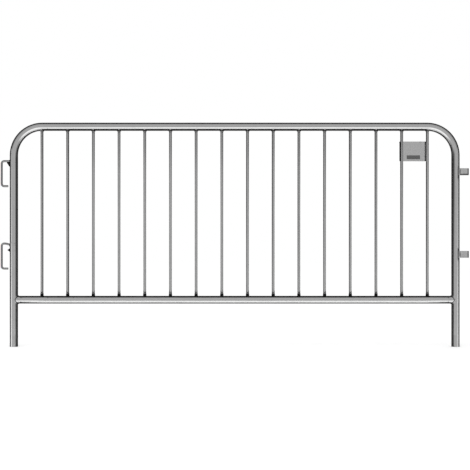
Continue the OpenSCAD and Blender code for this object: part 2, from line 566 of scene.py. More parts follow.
def make_frame_tube():
    """One bent tube: up the left leg, over the top and down the right leg."""
    tube = open_ring("bent_frame_tube", TUBE_R, (-LEG_X, 0, 0), (0, 0, 1), TUBE_SIDES)
    draw_out((0, 0, BEND_Z))
    bend_round((-BEND_X, 0, BEND_Z), math.pi / 2, BEND_STEPS)
    draw_out((2 * BEND_X, 0, 0))
    bend_round((BEND_X, 0, BEND_Z), math.pi / 2, BEND_STEPS)
    draw_out((0, 0, -BEND_Z))
    leave_edit(tube)
    apply_wall(tube, TUBE_WALL)
    apply_edge_break(tube, TUBE_EDGE)
    smooth(tube)
    finish_piece(tube, frame_zinc, ["frame_tube"])


def make_rail():
    """The bottom rail, drawn out in two halves, its ends cut to the legs."""
    rail = open_ring("cross_rail", RAIL_R, (-LEG_X, 0, RAIL_Z), (1, 0, 0), TUBE_SIDES)
    draw_out((LEG_X, 0, 0))
    draw_out((LEG_X, 0, 0))
    leave_edit(rail)

    def cut_to_leg(co):
        side = math.copysign(1, co.x)
        return Vector((side * (LEG_X - round_height(co.y, TUBE_R)), co.y, co.z))

    move_points(rail, lambda co: abs(co.x) > LEG_X / 2, cut_to_leg)
    apply_wall(rail, RAIL_WALL)
    smooth(rail)
    finish_piece(rail, rail_zinc, ["bottom_rail"])


def make_bars():
    """The upright bars: one is drawn and cut to the rail and the top tube, the others are its copies."""
    half = (TOP_Z - RAIL_Z) / 2
    bar = open_ring("upright_01", BAR_R, (BAR_X[0], 0, RAIL_Z), (0, 0, 1), BAR_SIDES)
    draw_out((0, 0, half))
    draw_out((0, 0, half))
    leave_edit(bar)
    move_points(
        bar,
        lambda co: co.z < RAIL_OVER,
        lambda co: Vector((co.x, co.y, RAIL_Z + round_height(co.y, RAIL_R))),
    )
    move_points(
        bar,
        lambda co: co.z > TUBE_UNDER,
        lambda co: Vector((co.x, co.y, TOP_Z - round_height(co.y, TUBE_R))),
    )
    apply_wall(bar, BAR_WALL)
    smooth(bar)
    bars = [bar]
    for number, x in enumerate(BAR_X[1:], start=2):
        bars.append(copy_piece(bar, f"upright_{number:02d}", Vector((x - BAR_X[0], 0, 0))))
    for piece, node in zip(bars, BAR_NAMES):
        finish_piece(piece, bar_zinc, [node])


# Hooks and loops

ARM_STEPS = 6
LOWER_ARM_DIP = 0.006


def make_hook(node, dip):
    """A rod bent twice to an open C: welded arm, shank and free arm with a rounded tip.

    dip is how far the welded arm bows down to the leg.
    """
    low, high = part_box(node)
    arm_z = high.z - ROD_R
    tip_z = low.z + ROD_R
    middle_z = (arm_z + tip_z) / 2
    bend_x = low.x + ROD_R + ROD_BEND_R
    leg_side = -LEG_X - TUBE_R
    arm_length = leg_side - bend_x
    hook = open_ring(f"{node}_rod", ROD_R, (leg_side, 0, arm_z), (-1, 0, 0), ROD_SIDES)
    for _ in range(ARM_STEPS):
        draw_out((-arm_length / ARM_STEPS, 0, 0))
    bend_round((bend_x, 0, arm_z - ROD_BEND_R), -math.pi / 2, ROD_BEND_STEPS)
    draw_out((0, 0, tip_z - arm_z + 2 * ROD_BEND_R))
    bend_round((bend_x, 0, tip_z + ROD_BEND_R), -math.pi / 2, ROD_BEND_STEPS)
    draw_out((arm_length - HOOK_MOUTH, 0, 0))
    close_ends()
    leave_edit(hook)
    move_points(
        hook,
        lambda co: co.x > leg_side - SLACK and co.z > middle_z,
        lambda co: Vector((-LEG_X - round_height(co.y, TUBE_R), co.y, co.z)),
    )
    move_points(
        hook,
        lambda co: co.x > bend_x and co.z > middle_z,
        lambda co: co - Vector((0, 0, dip * ((co.x - bend_x) / arm_length) ** 2)),
    )
    apply_edge_break(hook, ROD_EDGE, segments=3)
    smooth(hook)
    finish_piece(hook, rod_zinc, [node])


def make_loop(node):
    """A strap bent to a U in plan, its ends cut to the right leg."""
    low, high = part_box(node)
    strap_z = LOOP_Z[node]
    strap_y = high.y - STRAP_T / 2
    bend_x = high.x - STRAP_T / 2 - STRAP_BEND_R
    bend_y = strap_y - STRAP_BEND_R
    put_down()
    bpy.ops.mesh.primitive_plane_add(
        size=1, location=(LEG_X, -strap_y, strap_z), rotation=(0, math.pi / 2, 0))
    loop = settle(f"{node}_strap", (high.z - low.z, STRAP_T, 1))
    enter_edit("SELECT")
    bpy.ops.mesh.delete(type="ONLY_FACE")
    bpy.ops.mesh.select_all(action="SELECT")
    draw_out((bend_x - LEG_X, 0, 0))
    bend_round((bend_x, -bend_y, strap_z), math.pi / 2, ROD_BEND_STEPS, axis=(0, 0, 1))
    draw_out((0, 2 * bend_y, 0))
    bend_round((bend_x, bend_y, strap_z), math.pi / 2, ROD_BEND_STEPS, axis=(0, 0, 1))
    draw_out((LEG_X - bend_x, 0, 0))
    close_ends()
    leave_edit(loop)
    move_points(
        loop,
        lambda co: co.x < LEG_X + SLACK,
        lambda co: Vector((LEG_X + round_height(co.y, TUBE_R), co.y, co.z)),
    )
    apply_edge_break(loop, STRAP_EDGE)
    smooth(loop)
    finish_piece(loop, strap_zinc, [node])


# Marking plate and its bare label

LABEL_W = 0.0655
LABEL_H = 0.019
LABEL_FROM_RIGHT = 0.0395
LABEL_FROM_BOTTOM = 0.010
LABEL_T = 0.0004
LABEL_CORNER_R = 0.0016
LABEL_RIM_W = 0.0008
LABEL_RIM_SLOPE = 0.0002
LABEL_RIM_H = 0.00015
FRONT_FACING = -0.9


def make_sheet(name, low, high, corner_r):
    """A flat sheet whose four short edges, those from front to back, are rounded; left in edit mode."""
    put_down()
    bpy.ops.mesh.primitive_cube_add(size=1, location=(low + high) / 2)
    sheet = settle(name, high - low)
    enter_edit("DESELECT")
    bpy.ops.mesh.select_mode(type="EDGE")
    bpy.ops.object.mode_set(mode="OBJECT")
    for edge in sheet.data.edges:
        a, b = (sheet.data.vertices[i].co for i in edge.vertices)
        edge.select = abs(a.y - b.y) > abs(a.x - b.x) + abs(a.z - b.z)
    bpy.ops.object.mode_set(mode="EDIT")
    bpy.ops.mesh.bevel(offset=corner_r, segments=CORNER_STEPS, affect="EDGES")
    return sheet


def make_plate():
    """The flat sheet behind the two last bars."""
    plate = make_sheet("plate_sheet", PLATE_LOW, PLATE_HIGH, PLATE_CORNER_R)
    leave_edit(plate)
    apply_edge_break(plate, PLATE_EDGE)
    smooth(plate)
    finish_piece(plate, plate_zinc, ["marking_plate"])


def make_label():
    """The label stays bare: a thin dark sheet with a raised rim."""
    right_x = PLATE_HIGH.x - LABEL_FROM_RIGHT
    bottom_z = PLATE_LOW.z + LABEL_FROM_BOTTOM
    low = Vector((right_x - LABEL_W, PLATE_LOW.y - LABEL_T, bottom_z))
    high = Vector((right_x, PLATE_LOW.y + LABEL_T, bottom_z + LABEL_H))
    label = make_sheet("bare_label", low, high, LABEL_CORNER_R)
    bpy.ops.mesh.select_all(action="DESELECT")
    bpy.ops.object.mode_set(mode="OBJECT")
    for face in label.data.polygons:
        face.select = face.normal.y < FRONT_FACING
    bpy.ops.object.mode_set(mode="EDIT")
    bpy.ops.mesh.select_mode(type="FACE")
    bpy.ops.mesh.inset(thickness=LABEL_RIM_W, depth=0)
    bpy.ops.mesh.inset(thickness=LABEL_RIM_SLOPE, depth=-LABEL_RIM_H)
    leave_edit(label)
    smooth(label, LABEL_CRISP_ANGLE)
    finish_piece(label, label_grey)


# Weld beads

BEAD_R = 0.0024
BEAD_STEPS = 44
BEAD_SIDES = 10
BEAD_RIPPLE_SHARE = 0.10
BEAD_WANDER_SHARE = 0.05
RUN_SIDES = 20
RUN_RINGS = 16
RUN_RIPPLE_SHARE = 0.12
RUN_BLUNTNESS = 0.25
RUN_END_LEAST = 0.02
FRONT_ROOM = 0.0002
FRONT_LIMIT = TUBE_R - FRONT_ROOM


def ease(value, low, high):
    """Rises smoothly from 0 at low to 1 at high."""
    share = min(max((value - low) / (high - low), 0), 1)
    return share * share * (3 - 2 * share)


def set_points(weld, points, darkness):
    """Moves a weld's points, none further forward or back than the frame tube, and marks how burnt each is
    and the painted shade on it.
    """
    for point, place in zip(weld.data.vertices, points):
        place.y = max(-FRONT_LIMIT, min(FRONT_LIMIT, place.y))
        point.co = place
    marks = weld.data.attributes.new("burn_and_painted_shade", "FLOAT", "POINT")
    marks.data.foreach_set("value", darkness)
    weld.data.update()


def lay_bead(place, burn_and_painted_shade, seed, ripples):
    """A ring of weld laid along a joint.

    place(angle, out, up) gives a point from its angle round the ring and its offsets outwards
    and along the ring's axis; burn_and_painted_shade(angle, height) says how dark it is, from burning and
    from painted shade. The ripples are the weld pool's.
    """
    put_down()
    bpy.ops.mesh.primitive_torus_add(
        major_segments=BEAD_STEPS, minor_segments=BEAD_SIDES, major_radius=1, minor_radius=BEAD_R)
    bead = bpy.context.object
    start = random.Random(seed).uniform(0, 2 * math.pi)
    points = []
    darkness = []
    for point in bead.data.vertices:
        angle = math.atan2(point.co.y, point.co.x)
        out = math.hypot(point.co.x, point.co.y) - 1
        ripple = 1 + BEAD_RIPPLE_SHARE * abs(math.sin(ripples * (angle - start) / 2))
        ripple += BEAD_WANDER_SHARE * math.sin(3 * angle + start)
        points.append(place(angle, out * ripple, point.co.z * ripple))
        darkness.append(burn_and_painted_shade(angle, point.co.z / BEAD_R))
    set_points(bead, points, darkness)
    return bead


def add_ball(rings):
    """A ball of radius 1 from which a run or a drip of weld is shaped."""
    put_down()
    bpy.ops.mesh.primitive_uv_sphere_add(segments=RUN_SIDES, ring_count=rings, radius=1)
    return bpy.context.object


def lay_run(place, size, burn_and_painted_shade, seed, ripples):
    """A short upright run or tack of weld; size holds its half width, half depth and half length."""
    run = add_ball(RUN_RINGS)
    start = random.Random(seed).uniform(0, math.pi)
    points = []
    darkness = []
    for point in run.data.vertices:
        x, y, height = point.co
        ripple = 1 + RUN_RIPPLE_SHARE * abs(math.sin(start + ripples * height))
        full = ripple / max(1 - height * height, RUN_END_LEAST) ** RUN_BLUNTNESS
        points.append(place + Vector((size.x * x * full, size.y * y * full, size.z * height)))
        darkness.append(burn_and_painted_shade(x, abs(height)))
    set_points(run, points, darkness)
    return run


def join_welds(pieces, name):
    """Makes one piece of several welds and finishes it."""
    put_down()
    for piece in pieces:
        piece.select_set(True)
    bpy.context.view_layer.objects.active = pieces[0]
    bpy.ops.object.join()
    weld = bpy.context.object
    weld.name = name
    weld.data.name = name
    take_up(weld)
    bpy.ops.object.mode_set(mode="EDIT")
    leave_edit(weld)
    smooth(weld, WELD_CRISP_ANGLE)
    finish_piece(weld, weld_zinc)


# Beads round the ends of the bars, as shares of a plain bead; the front shares are added at front and back
BAR_RIPPLES = 14
HEAD_SEED = 100
FOOT_FLARE_SHARE = 0.55
FOOT_RISE_SHARE = 5.2
FOOT_RISE_FRONT_SHARE = 1.4
HEAD_FLARE_SHARE = 1.25
HEAD_FLARE_FRONT_SHARE = 1.5
HEAD_RISE_SHARE = 1.3
# The black low on each foot bead and at either side of each head bead is painted shade
FOOT_PAINTED_SHADE_ENDS = (0.5, 1.0)
HEAD_PAINTED_SHADE_ENDS = (0.45, 0.85)


def bar_bead(x, seat, way, seed, flare, rise, burn_and_painted_shade):
    """A bead round one end of a bar: flare spreads it over the tube, rise carries it along the bar."""
    def place(angle, out, up):
        if out > 0:
            out *= flare(angle)
        if up > 0:
            up *= rise(angle)
        radius = BAR_R + out
        y = radius * math.sin(angle)
        return Vector((x + radius * math.cos(angle), y, seat(y) + way * up))

    return lay_bead(place, burn_and_painted_shade, seed, BAR_RIPPLES)


def make_bar_welds():
    """A slim collar at each bar's foot, black low down as painted shade, and at its head a bead with painted
    shade at either side.
    """
    feet = []
    heads = []
    for number, x in enumerate(BAR_X):
        feet.append(bar_bead(
            x, lambda y: RAIL_Z + round_height(y, RAIL_R), 1, number,
            flare=lambda angle: FOOT_FLARE_SHARE,
            rise=lambda angle: FOOT_RISE_SHARE + FOOT_RISE_FRONT_SHARE * math.sin(angle) ** 2,
            burn_and_painted_shade=lambda angle, height: 1 - ease(height, *FOOT_PAINTED_SHADE_ENDS),
        ))
        heads.append(bar_bead(
            x, lambda y: TOP_Z - round_height(y, TUBE_R), -1, HEAD_SEED + number,
            flare=lambda angle: HEAD_FLARE_SHARE + HEAD_FLARE_FRONT_SHARE * math.sin(angle) ** 2,
            rise=lambda angle: HEAD_RISE_SHARE,
            burn_and_painted_shade=lambda angle, height: ease(abs(math.cos(angle)), *HEAD_PAINTED_SHADE_ENDS),
        ))
    join_welds(feet, "bar_foot_welds")
    join_welds(heads, "bar_head_welds")


# Beads where round pieces meet the legs
LEG_RIPPLES = 18
RAIL_SEED = 7
RAIL_BEAD_REACH = 2.0
RAIL_SOOT = 0.8
RAIL_SOOT_ENDS = (0.1, 0.7)
UPPER_HOOK_SEED = 21
# The upper hook's fillet is weld, black all over as painted shade under the arm
UPPER_HOOK_PAINTED_SHADE = 1.0
UPPER_HOOK_FILLET = {"down": 9.0, "along": 5.5}
LOWER_HOOK_SEED = 22
LOWER_HOOK_SOOT = 0.6
LOWER_HOOK_FILLET = {"down": 2.0, "along": 1.4}
FILLET_NARROWNESS = 6
FILLET_HOLLOW = 1.2


def leg_bead(leg_x, way, ring_r, middle_z, seed, burn_and_painted_shade, reach=1.0, down=1.0, along=1.0):
    """A bead where a round piece meets a leg; way is the side of the leg that the piece is on.

    reach is how far it spreads along the piece. down draws it down the leg below the piece and
    along draws it out under the piece, which leaves a hollow fillet.
    """
    def place(angle, out, up):
        below = max(0, -math.sin(angle)) ** FILLET_NARROWNESS
        if out > 0 and up > 0 and down > 1:
            hollow = 1 + FILLET_HOLLOW * below
            out = BEAD_R * (out / BEAD_R) ** hollow
            up = BEAD_R * (up / BEAD_R) ** hollow
        if out > 0:
            out *= 1 + below * (down - 1)
        if up > 0:
            up *= reach + below * (along - 1)
        radius = ring_r + out
        y = radius * math.cos(angle)
        seat = round_height(ring_r * math.cos(angle), TUBE_R)
        return Vector((leg_x + way * (seat + up), y, middle_z + radius * math.sin(angle)))

    return lay_bead(place, burn_and_painted_shade, seed, LEG_RIPPLES)


def make_rail_welds():
    """Broad saddle beads, dark along the edge that lies on the rail."""
    def burn_and_painted_shade(angle, height):
        return RAIL_SOOT * ease(height, *RAIL_SOOT_ENDS)

    beads = [
        leg_bead(side * LEG_X, -side, RAIL_R, RAIL_Z, RAIL_SEED + side, burn_and_painted_shade, reach=RAIL_BEAD_REACH)
        for _, side in SIDES
    ]
    join_welds(beads, "rail_end_welds")


# The drip of weld at the lower hook
NIB_DROP = 0.032
NIB_HALF = 0.012
NIB_REACH = 0.013
NIB_HALF_DEPTH = 0.003
NIB_SHARPNESS = 1.4
NIB_RINGS = 20


def lay_nib():
    """A pointed drip of weld on the left leg, between the lower hook's arms."""
    nib = add_ball(NIB_RINGS)
    nib_z = HOOK_ARM_Z["hook_lower"] - NIB_DROP
    points = []
    for point in nib.data.vertices:
        x, y, height = point.co
        reach = NIB_REACH * (1 - abs(height)) ** NIB_SHARPNESS if x < 0 else TUBE_WALL
        root = -LEG_X - round_height(NIB_HALF_DEPTH * y, TUBE_R)
        points.append(Vector((root + reach * x, NIB_HALF_DEPTH * y, nib_z + NIB_HALF * height)))
    set_points(nib, points, [1.0] * len(points))
    return nib


def make_hook_welds():
    """A hollow fillet under the upper hook's arm, black all over as painted shade; a ring and a nib of weld
    at the lower one's.
    """
    upper = leg_bead(-LEG_X, -1, ROD_R, HOOK_ARM_Z["hook_upper"], UPPER_HOOK_SEED,
                     lambda angle, height: UPPER_HOOK_PAINTED_SHADE, **UPPER_HOOK_FILLET)
    lower = leg_bead(-LEG_X, -1, ROD_R, HOOK_ARM_Z["hook_lower"] - LOWER_ARM_DIP, LOWER_HOOK_SEED,
                     lambda angle, height: LOWER_HOOK_SOOT, **LOWER_HOOK_FILLET)
    join_welds([upper, lower, lay_nib()], "hook_welds")


# Runs down the strap ends
LOOP_SEED = 31
LOOP_RIPPLES = 9
LOOP_RUN_OUT = 0.0022
LOOP_RUN_HALF_W = 0.0042
LOOP_RUN_HALF_DEPTH = 0.0028
LOOP_RUN_OVERHANG = 0.001
LOOP_SOOT = 0.8
LOOP_SOOT_ACROSS = (-0.3, 0.4)
LOOP_SOOT_UP = (0.3, 0.8)


def make_loop_welds():
    """Upright runs down the strap ends, dark halfway up along the strap and bright elsewhere."""
    def burn_and_painted_shade(across, height):
        return LOOP_SOOT * ease(across, *LOOP_SOOT_ACROSS) * (1 - ease(height, *LOOP_SOOT_UP))

    runs = []
    for number, node in enumerate(LOOP_Z):
        low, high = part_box(node)
        run_x = LEG_X + round_height(high.y, TUBE_R) + LOOP_RUN_OUT
        half_length = (high.z - low.z) / 2 + LOOP_RUN_OVERHANG
        size = Vector((LOOP_RUN_HALF_W, LOOP_RUN_HALF_DEPTH, half_length))
        for _, way in FACES:
            place = Vector((run_x, way * high.y, LOOP_Z[node]))
            runs.append(lay_run(place, size, burn_and_painted_shade, LOOP_SEED + number, LOOP_RIPPLES))
    join_welds(runs, "loop_welds")


# Tacks of the plate
TACK_SEED = 40
TACK_RIPPLES = 3
TACK_INSET = 0.004
TACK_SOOT = 0.9
TACK_SIZE = Vector((0.0024, 0.0024, 0.0032))


def make_plate_tacks():
    """Tacks that hold the plate to the left flanks of its two bars, dark all over."""
    def burn_and_painted_shade(across, height):
        return TACK_SOOT

    upper_z = PLATE_HIGH.z - TACK_INSET
    lower_z = PLATE_LOW.z + TACK_INSET
    tack_y = PLATE_LOW.y - TACK_SIZE.y / 2
    tacks = []
    for bar, z in ((PLATE_BAR, upper_z), (PLATE_BAR + 1, upper_z), (PLATE_BAR + 1, lower_z)):
        place = Vector((BAR_X[bar] - BAR_R - TACK_SIZE.x / 2, tack_y, z))
        tacks.append(lay_run(place, TACK_SIZE, burn_and_painted_shade, TACK_SEED + bar, TACK_RIPPLES))
    join_welds(tacks, "plate_tacks")


make_frame_tube()
make_rail()
make_bars()
make_hook("hook_upper", 0)
make_hook("hook_lower", LOWER_ARM_DIP)
for loop_node in LOOP_Z:
    make_loop(loop_node)
make_plate()
make_label()
make_bar_welds()
make_rail_welds()
make_hook_welds()
make_loop_welds()
make_plate_tacks()


# Stage: floor, light tent, reflection cards, light and camera

FLOOR_SIZE = 30
FLOOR_DROP = 0.0005
FLOOR_GREY = 0.92
FLOOR_LIFT = 0.22

# Turns of a card: square to the panel, along the panel or flat
FIN = (math.pi / 2, 0, math.pi / 2)
UPRIGHT = (math.pi / 2, 0, 0)
FLAT = (0, 0, 0)

# A card's lower and upper ends in its own coordinates
CARD_FOOT = -0.5
CARD_HEAD = 0.5


def put_on_stage(name, paint):
    """Names the thing just added and gives it an empty material; gives back it and the node tree."""
    thing = bpy.context.object
    thing.name = name
    material, tree = new_material(paint)
    tree.nodes.clear()
    thing.data.materials.append(material)
    return thing, tree


def make_floor():
    """A pale floor that keeps the panel's shadow; the lift is for the camera alone."""
    put_down()
    bpy.ops.mesh.primitive_plane_add(size=FLOOR_SIZE, location=(0, 0, -FLOOR_DROP))
    floor, tree = put_on_stage("floor", "floor_white")
    seen = add_node(tree, "ShaderNodeLightPath")["Is Camera Ray"]
    strength = add_math(tree, "MULTIPLY", seen, FLOOR_LIFT)
    lift = add_node(tree, "ShaderNodeEmission", {"Strength": strength})["Emission"]
    paint = add_node(tree, "ShaderNodeBsdfDiffuse", {"Color": grey_colour(FLOOR_GREY)})["BSDF"]
    both = add_node(tree, "ShaderNodeAddShader", {0: paint, 1: lift})["Shader"]
    add_node(tree, "ShaderNodeOutputMaterial", {"Surface": both})
    floor.visible_glossy = False


def show_to_metal_only(screen):
    """A reflection screen lights nothing and hides nothing: only the metal shows it."""
    screen.visible_camera = False
    screen.visible_diffuse = False
    screen.visible_transmission = False
    screen.visible_volume_scatter = False
    screen.visible_shadow = False


def new_card(name, size, place, turn):
    """A flat card that only the metal shows; gives back the node tree of its material."""
    put_down()
    bpy.ops.mesh.primitive_plane_add(size=1, location=place, rotation=turn)
    card, tree = put_on_stage(name, name)
    card.scale = (*size, 1)
    show_to_metal_only(card)
    return tree


def make_card(name, grey, size, place, turn, head_grey=None, start=CARD_FOOT):
    """A plain reflection card of one grey, or graded to another grey from a start on it to its head."""
    tree = new_card(name, size, place, turn)
    strength = grey
    if head_grey is not None:
        up = vector_parts(tree, object_place(tree))["Y"]
        strength = add_range(tree, up, start, CARD_HEAD, grey, head_grey, "LINEAR")
    glow = add_node(tree, "ShaderNodeEmission", {"Strength": strength})["Emission"]
    add_node(tree, "ShaderNodeOutputMaterial", {"Surface": glow})


def make_card_pair(name, grey, size, place, turn, **grade):
    """Two like cards, one before the panel and one behind it; place is that of the one behind."""
    x, y, z = place
    for face, way in FACES:
        make_card(f"{name}_{face}", grey, size, (x, way * y, z), turn, **grade)


def make_shade(name, grey, x, depths, low_z, high_z, low_fade=0.0, high_fade=0.0):
    """A dark card square to the panel: solid in the panel's plane, thinning out in front and behind.

    depths are where it starts to thin out and where it ends, from the panel's plane. The fades are
    the lengths over which it thins out at its lower and upper ends.
    """
    solid_y, far_y = depths
    height = high_z - low_z
    tree = new_card(name, (2 * far_y, height), (x, 0, (low_z + high_z) / 2), FIN)
    parts = vector_parts(tree, object_place(tree))
    depth = add_math(tree, "ABSOLUTE", parts["X"])
    cover = add_range(tree, depth, CARD_HEAD * solid_y / far_y, CARD_HEAD, 1, 0)
    for fade, end in ((low_fade, CARD_FOOT), (high_fade, CARD_HEAD)):
        if fade:
            start = end - math.copysign(fade / height, end)
            cover = add_math(tree, "MULTIPLY", cover, add_range(tree, parts["Y"], start, end, 1, 0))
    clear = add_node(tree, "ShaderNodeBsdfTransparent")["BSDF"]
    glow = add_node(tree, "ShaderNodeEmission", {"Strength": grey})["Emission"]
    mix = add_node(tree, "ShaderNodeMixShader", {"Fac": cover, 1: clear, 2: glow})["Shader"]
    add_node(tree, "ShaderNodeOutputMaterial", {"Surface": mix})


# Greys of the light tent, by the angle in degrees from straight in front or straight behind
QUARTER_TURN = 90
TENT_SIDE = ((0, 0.38), (13, 0.37), (27, 0.44), (42, 0.38), (55, 0.30), (72, 0.15), (90, 0.06))
TENT_TOP = ((0, 0.38), (28, 0.41), (62, 0.38), (78, 0.22), (90, 0.10))
TENT_FLOOR = ((0, 0.38), (15, 0.42), (22, 0.98), (55, 1.00), (64, 0.60), (75, 0.25), (90, 0.13))

# Where the side's greys give way to the top's and to the floor's, as sines of the angle up
TENT_TURN_UP = (0.40, 0.85)
TENT_TURN_DOWN = (-0.55, -0.92)

TENT_R = 8.0
TENT_Z = 0.55
TENT_SEGMENTS = 48
TENT_RINGS = 24


def tent_ramp(tree, share, greys):
    """The tent's greys along a share of a quarter turn."""
    return grey_ramp(tree, share, [(angle / QUARTER_TURN, grey) for angle, grey in greys])


def make_tent():
    """A light tent round the panel: grey in front and behind, pale towards the floor, dark at the sides."""
    put_down()
    bpy.ops.mesh.primitive_uv_sphere_add(
        segments=TENT_SEGMENTS, ring_count=TENT_RINGS, radius=TENT_R, location=(0, 0, TENT_Z))
    bpy.ops.object.shade_smooth()
    tent, tree = put_on_stage("light_tent", "light_tent")
    place = object_place(tree)
    way = add_vector_math(tree, "NORMALIZE", place)
    ahead = add_math(tree, "ABSOLUTE", vector_parts(tree, way)["Y"])
    share = add_math(tree, "DIVIDE", add_math(tree, "ARCCOSINE", ahead), math.pi / 2)
    flat = add_vector_math(tree, "MULTIPLY", place, (1, 0, 1))
    height = vector_parts(tree, add_vector_math(tree, "NORMALIZE", flat))["Z"]
    up = add_range(tree, height, *TENT_TURN_UP)
    down = add_range(tree, height, *TENT_TURN_DOWN)
    side, top, floor = (tent_ramp(tree, share, greys) for greys in (TENT_SIDE, TENT_TOP, TENT_FLOOR))
    upper = add_mix(tree, "RGBA", up, side, top)
    whole = add_mix(tree, "RGBA", down, upper, floor)
    glow = add_node(tree, "ShaderNodeEmission", {"Color": whole})["Emission"]
    add_node(tree, "ShaderNodeOutputMaterial", {"Surface": glow})
    show_to_metal_only(tent)


# Dark cards in the panel's plane
EDGE_DARK = 0.01
UNDER_RAIL_DARK = 0.02
EDGE_FAR = 3.0
EDGE_OUTER_X = LEG_X + 0.155
EDGE_END_X = cad_box[1][0] + 0.002
LOOP_ROOM = 0.03
PLATE_ROOM = 0.004
PLATE_BAR_ROOM = 0.003


def clear_heights(side, low_z, high_z):
    """The heights beside a leg that a card may take up; on the right they leave out the loops."""
    stops = [low_z, high_z]
    if side > 0:
        stops += [z + step for z in LOOP_Z.values() for step in (-LOOP_ROOM, LOOP_ROOM)]
        stops.sort()
    return list(zip(stops[0::2], stops[1::2]))


def make_edge_flag(name, one_x, other_x, low_z, high_z, grey=EDGE_DARK):
    """A dark card in the panel's own plane, which gives the tubes their dark edges from either side."""
    size = (abs(other_x - one_x), high_z - low_z)
    make_card(name, grey, size, ((one_x + other_x) / 2, 0, (low_z + high_z) / 2), UPRIGHT)


def make_edge_flags():
    """Dark cards all over the panel's plane, except at the plate and just outside the loops."""
    far = EDGE_FAR
    end = EDGE_END_X
    left = BAR_X[PLATE_BAR]
    right = BAR_X[PLATE_BAR + 1] - BAR_R - PLATE_BAR_ROOM
    make_edge_flag("edge_flag_left", -end, left, RAIL_Z, far)
    make_edge_flag("edge_flag_right", right, end, RAIL_Z, far)
    make_edge_flag("edge_flag_under_plate", left, right, RAIL_Z, PLATE_LOW.z - PLATE_ROOM)
    make_edge_flag("edge_flag_over_plate", left, right, PLATE_HIGH.z + PLATE_ROOM, far)
    make_edge_flag("edge_flag_under_rail", -LEG_X, LEG_X, -far, RAIL_Z, UNDER_RAIL_DARK)
    for name, side in SIDES:
        outer = f"edge_flag_outer_{name}"
        make_edge_flag(f"edge_flag_corner_{name}", side * end, side * far, BEND_Z, far)
        make_edge_flag(f"edge_flag_foot_{name}", side * LEG_X, side * end, -far, RAIL_Z)
        for number, (low_z, high_z) in enumerate(clear_heights(side, -far, BEND_Z)):
            make_edge_flag(f"{outer}_{number}", side * end, side * EDGE_OUTER_X, low_z, high_z)


# Pale screens outside the legs
SCREEN_X = LEG_X + 0.115
SCREEN_NEAR = {"left": 0.036, "right": 0.048}
SCREEN_FAR = 0.120
SCREEN_LOW_Z = -0.1
SCREEN_HIGH_Z = 1.0
SCREEN_FLOOR_GREY = 0.90
SCREEN_FADE = 0.505


def make_side_screens():
    """Pale screens outside the legs for the strip of light down each leg, paler towards the floor."""
    for name, side in SIDES:
        depth = SCREEN_FAR - SCREEN_NEAR[name]
        middle_y = (SCREEN_FAR + SCREEN_NEAR[name]) / 2
        for number, (low_z, high_z) in enumerate(clear_heights(side, SCREEN_LOW_Z, SCREEN_HIGH_Z)):
            low_grey = SCREEN_FLOOR_GREY - SCREEN_FADE * low_z
            high_grey = SCREEN_FLOOR_GREY - SCREEN_FADE * high_z
            place = (side * SCREEN_X, middle_y, (low_z + high_z) / 2)
            make_card_pair(f"side_screen_{name}_{number}", low_grey, (depth, high_z - low_z), place, FIN,
                           head_grey=high_grey)


# Dark cards close inside the legs; depths are where they start to thin out and where they end
SHADE_X = LEG_X - 0.033
SHADE_DARK = 0.03
LEG_SHADE_DEPTHS = (0.013, 0.044)
LEG_SHADE_HIGH_Z = BEND_Z + 0.035
LEG_SHADE_FADE = 0.06
FOOT_SHADE_DEPTHS = (0.020, 0.040)
FOOT_SHADE_LOW_Z = -0.1
SOFT_SHADE_GREY = 0.10
SOFT_SHADE_X = SHADE_X - 0.002
SOFT_SHADE_DEPTHS = (0.020, 0.105)
SOFT_SHADE_LOW_Z = 0.28
SOFT_SHADE_HIGH_Z = BEND_Z + 0.03
SOFT_SHADE_LOW_FADE = 0.62
SOFT_SHADE_HIGH_FADE = 0.03

# Cards by the leg ends, which keep the bright floor out of them
FOOT_CARD_GREY = 0.37
FOOT_CARD_SIZE = (0.10, 0.05)
FOOT_CARD_X = LEG_X - 0.05
FOOT_CARD_Y = 0.06
FOOT_MAT_GREY = 0.12
FOOT_MAT_SIZE = (0.05, 0.035)
FOOT_MAT_X = LEG_X - 0.055
FOOT_MAT_Y = 0.0325
FOOT_MAT_Z = 0.0035


def make_leg_shades():
    """Dark cards close inside the legs, for the dark side that each turns to the bars."""
    foot_card_z = FOOT_CARD_SIZE[1] / 2
    for name, side in SIDES:
        make_shade(f"leg_shade_{name}", SHADE_DARK, side * SHADE_X, LEG_SHADE_DEPTHS,
                   RAIL_OVER, LEG_SHADE_HIGH_Z, high_fade=LEG_SHADE_FADE)
        make_shade(f"foot_shade_{name}", SHADE_DARK, side * SHADE_X, FOOT_SHADE_DEPTHS,
                   FOOT_SHADE_LOW_Z, RAIL_UNDER)
        make_card_pair(f"foot_card_{name}", FOOT_CARD_GREY, FOOT_CARD_SIZE,
                       (side * FOOT_CARD_X, FOOT_CARD_Y, foot_card_z), UPRIGHT)
        make_card_pair(f"foot_mat_{name}", FOOT_MAT_GREY, FOOT_MAT_SIZE,
                       (side * FOOT_MAT_X, FOOT_MAT_Y, FOOT_MAT_Z), FLAT)
    make_shade("soft_shade_right", SOFT_SHADE_GREY, SOFT_SHADE_X, SOFT_SHADE_DEPTHS,
               SOFT_SHADE_LOW_Z, SOFT_SHADE_HIGH_Z, SOFT_SHADE_LOW_FADE, SOFT_SHADE_HIGH_FADE)


# Small dark cards beside the loops
LOOP_SHADE_X = LEG_X + 0.09
LOOP_SHADE_NEAR_Y = 0.012
LOOP_SHADE_FAR_Y = 0.050
LOOP_SHADE_H = 0.06


